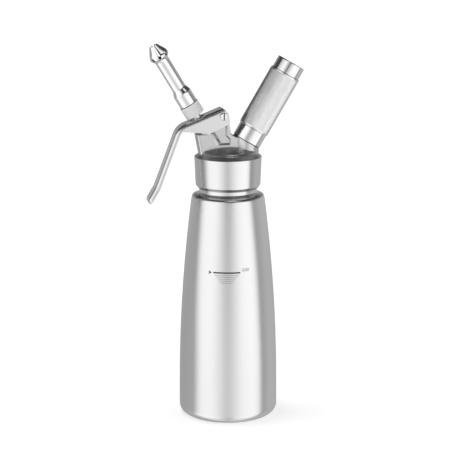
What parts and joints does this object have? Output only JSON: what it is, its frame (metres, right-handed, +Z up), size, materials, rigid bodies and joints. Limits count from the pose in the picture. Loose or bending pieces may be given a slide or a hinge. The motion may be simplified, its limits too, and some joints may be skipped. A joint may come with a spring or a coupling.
{
  "type": "whipped cream dispenser",
  "caption": "Tapered steel bottle with a screw-on head, pressed squeeze lever, slanting valve with a star nozzle, and a knurled gas charger holder.",
  "frame": {"origin": "centre of the bottle's base, on the surface it stands on", "axes": "+Z up along the bottle's axis, the nozzle and handle lean towards -X, the charger holder towards +X, the front with the fill line faces -Y"},
  "size_m": [0.1306, 0.082, 0.3138],
  "materials": {
    "bottle_steel": "satin brushed, marked with a fill line",
    "turned_steel": "satin turned",
    "polished_steel": "polished",
    "cast_steel": "polished casting with satin flanks",
    "lever_steel": "pressed sheet, fine brushed",
    "knurled_steel": "diamond knurl",
    "adapter_alloy": "bead blasted, matt",
    "spring_steel": "drawn wire",
    "charger_steel": "zinc plated",
    "white_silicone": "soft, matt",
    "black_rubber": "matt"
  },
  "bodies": {
    "bottle": {"bottle_body": "bottle_steel", "neck_ring": "turned_steel"},
    "gasket": {"head_gasket": "white_silicone"},
    "head": {"head_casting": "cast_steel", "lever_pin": "polished_steel", "pin_clip": "spring_steel", "check_valve": "black_rubber", "pin_carrier": "turned_steel", "piercing_pin": "polished_steel", "charger_seal": "black_rubber", "valve_spring": "spring_steel"},
    "lever": {"lever": "lever_steel"},
    "valve": {"valve_spindle": "turned_steel", "valve_seal": "black_rubber", "seal_screw": "polished_steel", "spindle_oring_inner": "black_rubber", "spindle_oring_outer": "black_rubber", "thrust_washer": "polished_steel", "nozzle_adapter": "adapter_alloy"},
    "nozzle_ring": {"nozzle_ring": "white_silicone"},
    "nozzle": {"decorating_nozzle": "polished_steel"},
    "charger": {"gas_charger": "charger_steel"},
    "holder": {"holder_tube": "polished_steel", "knurled_sleeve": "knurled_steel", "holder_cap": "polished_steel"}
  },
  "joints": [
    {"name": "head_lift", "type": "slide", "parent": "bottle", "child": "gasket", "axis": [0, 0, 1], "range_m": [0, 0.022]},
    {"name": "head_turn", "type": "hinge", "parent": "gasket", "child": "head", "pos_m": [0, 0, 0.2], "axis": [0, 0, 1], "range_deg": [0, 1980]},
    {"name": "lever_squeeze", "type": "hinge", "parent": "head", "child": "lever", "pos_m": [-0.0049, 0, 0.254], "axis": [0, -1, 0], "range_deg": [0, 12], "stiffness_Nm_per_rad": 0.75, "springref_deg": -8.59, "deforming": ["valve_spring"]},
    {"name": "valve_press", "type": "slide", "parent": "head", "child": "valve", "axis": [-0.515, 0, 0.8572], "range_m": [-0.0039, 0]},
    {"name": "nozzle_draw", "type": "slide", "parent": "valve", "child": "nozzle_ring", "axis": [-0.515, 0, 0.8572], "range_m": [0, 0.01]},
    {"name": "nozzle_turn", "type": "hinge", "parent": "nozzle_ring", "child": "nozzle", "pos_m": [-0.03245, 0, 0.2634], "axis": [-0.515, 0, 0.8572], "range_deg": [0, 2880]},
    {"name": "charger_draw", "type": "slide", "parent": "head", "child": "charger", "axis": [0.506, 0, 0.8625], "range_m": [0, 0.0135]},
    {"name": "holder_turn", "type": "hinge", "parent": "charger", "child": "holder", "pos_m": [0.01528, 0, 0.23185], "axis": [0.506, 0, 0.8625], "range_deg": [0, 3240]}
  ],
  "couplings": [
    {"joint": "head_lift", "follows": "head_turn", "m_per_rad": 0.00063662},
    {"joint": "valve_press", "follows": "lever_squeeze", "m_per_rad": -0.0185},
    {"joint": "nozzle_draw", "follows": "nozzle_turn", "m_per_rad": 0.00019894},
    {"joint": "charger_draw", "follows": "holder_turn", "m_per_rad": 0.00023873}
  ]
}
